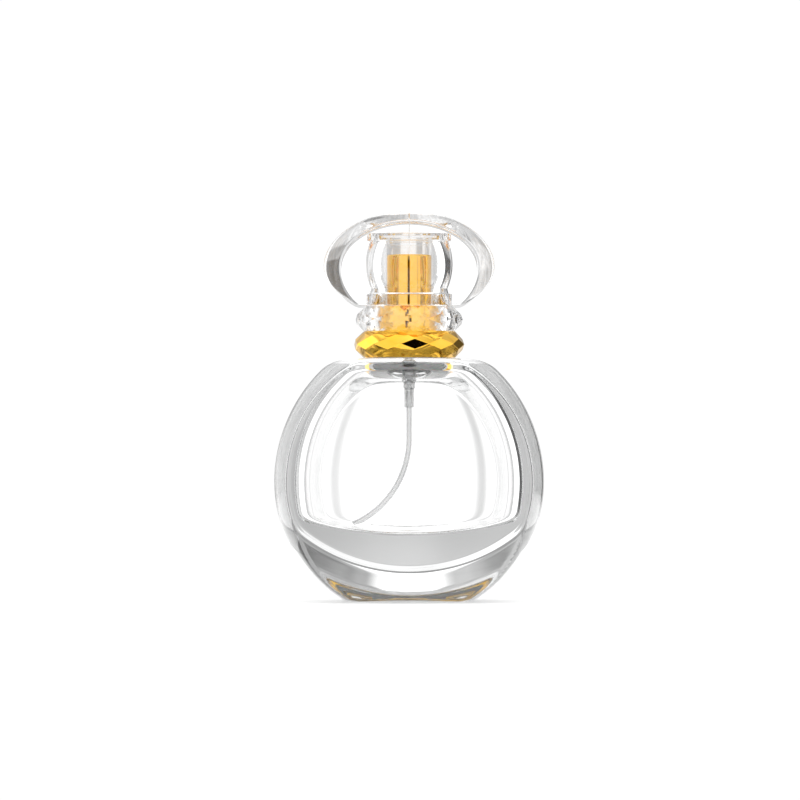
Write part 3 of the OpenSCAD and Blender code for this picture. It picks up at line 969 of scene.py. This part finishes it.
IN_FRONT = [
    1.6,
    (0, 100, 0, 70, 20, 0.8),
    (-36, 27, 0, 60, 6, 1.2),
    (40, 36, 0, 60, 6, 1.2),
    (50, 2.5, 0, 50, 3, 0.6),
    (-2.6, 5.2, 0, 12, 2.5, 0.01)]


# The number of surfaces above which light counts as having crossed the reservoir, or the cap
# and its liner; half numbers keep clear of the counts themselves.
HOLLOW_FROM = 2.5
CAP_FROM = 5.5
BACKDROP = 1.02


def direction(tree):
    """Of a ray, in degrees: azimuth off the nearer end of Y, azimuth off -Y, elevation; and its y."""
    place = node(tree, "ShaderNodeTexCoord")
    split = node(tree, "ShaderNodeSeparateXYZ")
    tree.links.new(place.outputs["Generated"], split.inputs["Vector"])
    x, y, z = split.outputs
    degrees = 180 / math.pi
    either_side = math_node(tree, "ARCTAN2", x, math_node(tree, "ABSOLUTE", y))
    from_front = math_node(tree, "ARCTAN2", x, math_node(tree, "MULTIPLY", y, -1))
    back = math_node(tree, "MULTIPLY", either_side, degrees)
    front = math_node(tree, "MULTIPLY", from_front, degrees)
    rise = math_node(tree, "MULTIPLY", math_node(tree, "ARCSINE", z), degrees)
    return back, front, rise, y


def streak_gain(tree, azimuth, elevation):
    """Uneven brightness, drawn out upwards, for the light behind solid glass."""
    streaks = node(tree, "ShaderNodeTexNoise")
    streaks.inputs["Scale"].default_value = 1.0
    streaks.inputs["Detail"].default_value = 1.0
    spread = node(tree, "ShaderNodeCombineXYZ")
    tree.links.new(math_node(tree, "MULTIPLY", azimuth, 0.45), spread.inputs["X"])
    tree.links.new(math_node(tree, "MULTIPLY", elevation, 0.10), spread.inputs["Y"])
    tree.links.new(spread.outputs["Vector"], streaks.inputs["Vector"])
    gain = node(tree, "ShaderNodeMapRange")
    gain.inputs["From Min"].default_value = 0.3
    gain.inputs["From Max"].default_value = 0.7
    gain.inputs["To Min"].default_value = 0.80
    gain.inputs["To Max"].default_value = 1.20
    tree.links.new(streaks.outputs["Fac"], gain.inputs["Value"])
    return gain.outputs["Result"]


def studio_light(tree, path):
    """Brightness that glass and metal see, by direction and by what the ray has met so far."""
    back, front, rise, y = direction(tree)
    solid = patches(tree, back, rise, THROUGH_SOLID)
    solid = math_node(tree, "MULTIPLY", solid, streak_gain(tree, back, rise))
    hollow = patches(tree, back, rise, THROUGH_HOLLOW)
    in_cap = patches(tree, back, rise, THROUGH_CAP)
    ahead = patches(tree, front, rise, IN_FRONT)
    crossed = path.outputs["Transmission Depth"]
    behind = choose(tree, math_node(tree, "GREATER_THAN", crossed, HOLLOW_FROM), solid, hollow)
    behind = choose(tree, math_node(tree, "GREATER_THAN", crossed, CAP_FROM), behind, in_cap)
    mirrored = math_node(tree, "GREATER_THAN", path.outputs["Glossy Depth"], 0.5)
    to_front = math_node(tree, "MULTIPLY", math_node(tree, "LESS_THAN", y, 0.0), mirrored)
    return choose(tree, to_front, behind, ahead)


def make_studio():
    """White to the camera; glass and gold see soft patches of light around the bottle."""
    world = bpy.data.worlds.new("studio")
    bpy.context.scene.world = world
    world.use_nodes = True
    world.cycles.sampling_method = "MANUAL"
    world.cycles.sample_map_resolution = 256
    tree = world.node_tree
    path = node(tree, "ShaderNodeLightPath")
    direct = path.outputs["Is Camera Ray"]
    indirect = math_node(tree, "SUBTRACT", 1.0, direct)
    seen = math_node(tree, "MULTIPLY", studio_light(tree, path), indirect)
    backdrop = math_node(tree, "MULTIPLY", direct, BACKDROP)
    background = tree.nodes["Background"]
    background.inputs["Color"].default_value = (1, 1, 1, 1)
    tree.links.new(math_node(tree, "ADD", seen, backdrop), background.inputs["Strength"])


def make_black_card():
    """A small black card that only mirrors see: the dark facet in the middle of the collar."""
    mesh = bpy.data.meshes.new("black_card")
    turn = math.radians(11.6)
    away = 0.15
    half_w = 0.0095
    half_h = 0.0072
    centre = Vector((away * math.sin(turn), -away * math.cos(turn), 0.0725))
    side = Vector((math.cos(turn), math.sin(turn), 0)) * half_w
    lift = Vector((0, 0, half_h))
    corners = [centre - side - lift, centre + side - lift, centre + side + lift, centre - side + lift]
    mesh.from_pydata(corners, [], [(0, 1, 2, 3)])
    card = bpy.data.objects.new("black_card", mesh)
    bpy.context.scene.collection.objects.link(card)
    material, tree, shader = principled("black_felt", Roughness=0.95)
    tone = ramp(tree, noise(tree, 400, 3), [(0.3, 0.001), (0.7, 0.004)])
    tree.links.new(tone, shader.inputs["Base Color"])
    shader.inputs["Specular IOR Level"].default_value = 0.0
    paint(card, material)
    card.visible_camera = False
    card.visible_diffuse = False
    card.visible_transmission = False
    card.visible_shadow = False


def make_camera():
    """A long lens, level with the middle of the picture."""
    data = bpy.data.cameras.new("camera")
    data.lens = 164
    data.sensor_width = 36
    data.clip_end = 20
    camera = bpy.data.objects.new("camera", data)
    camera.location = (-2.5 * MM, -1.0, 55.25 * MM)
    camera.rotation_euler = (math.pi / 2, 0, 0)
    bpy.context.scene.collection.objects.link(camera)
    bpy.context.scene.camera = camera


make_floor()
make_studio()
make_black_card()
make_camera()

scene = bpy.context.scene
scene.view_settings.view_transform = "Standard"
scene.cycles.max_bounces = 40
scene.cycles.transmission_bounces = 40
scene.cycles.glossy_bounces = 16
scene.cycles.diffuse_bounces = 6
scene.cycles.transparent_max_bounces = 32
scene.cycles.use_denoising = True
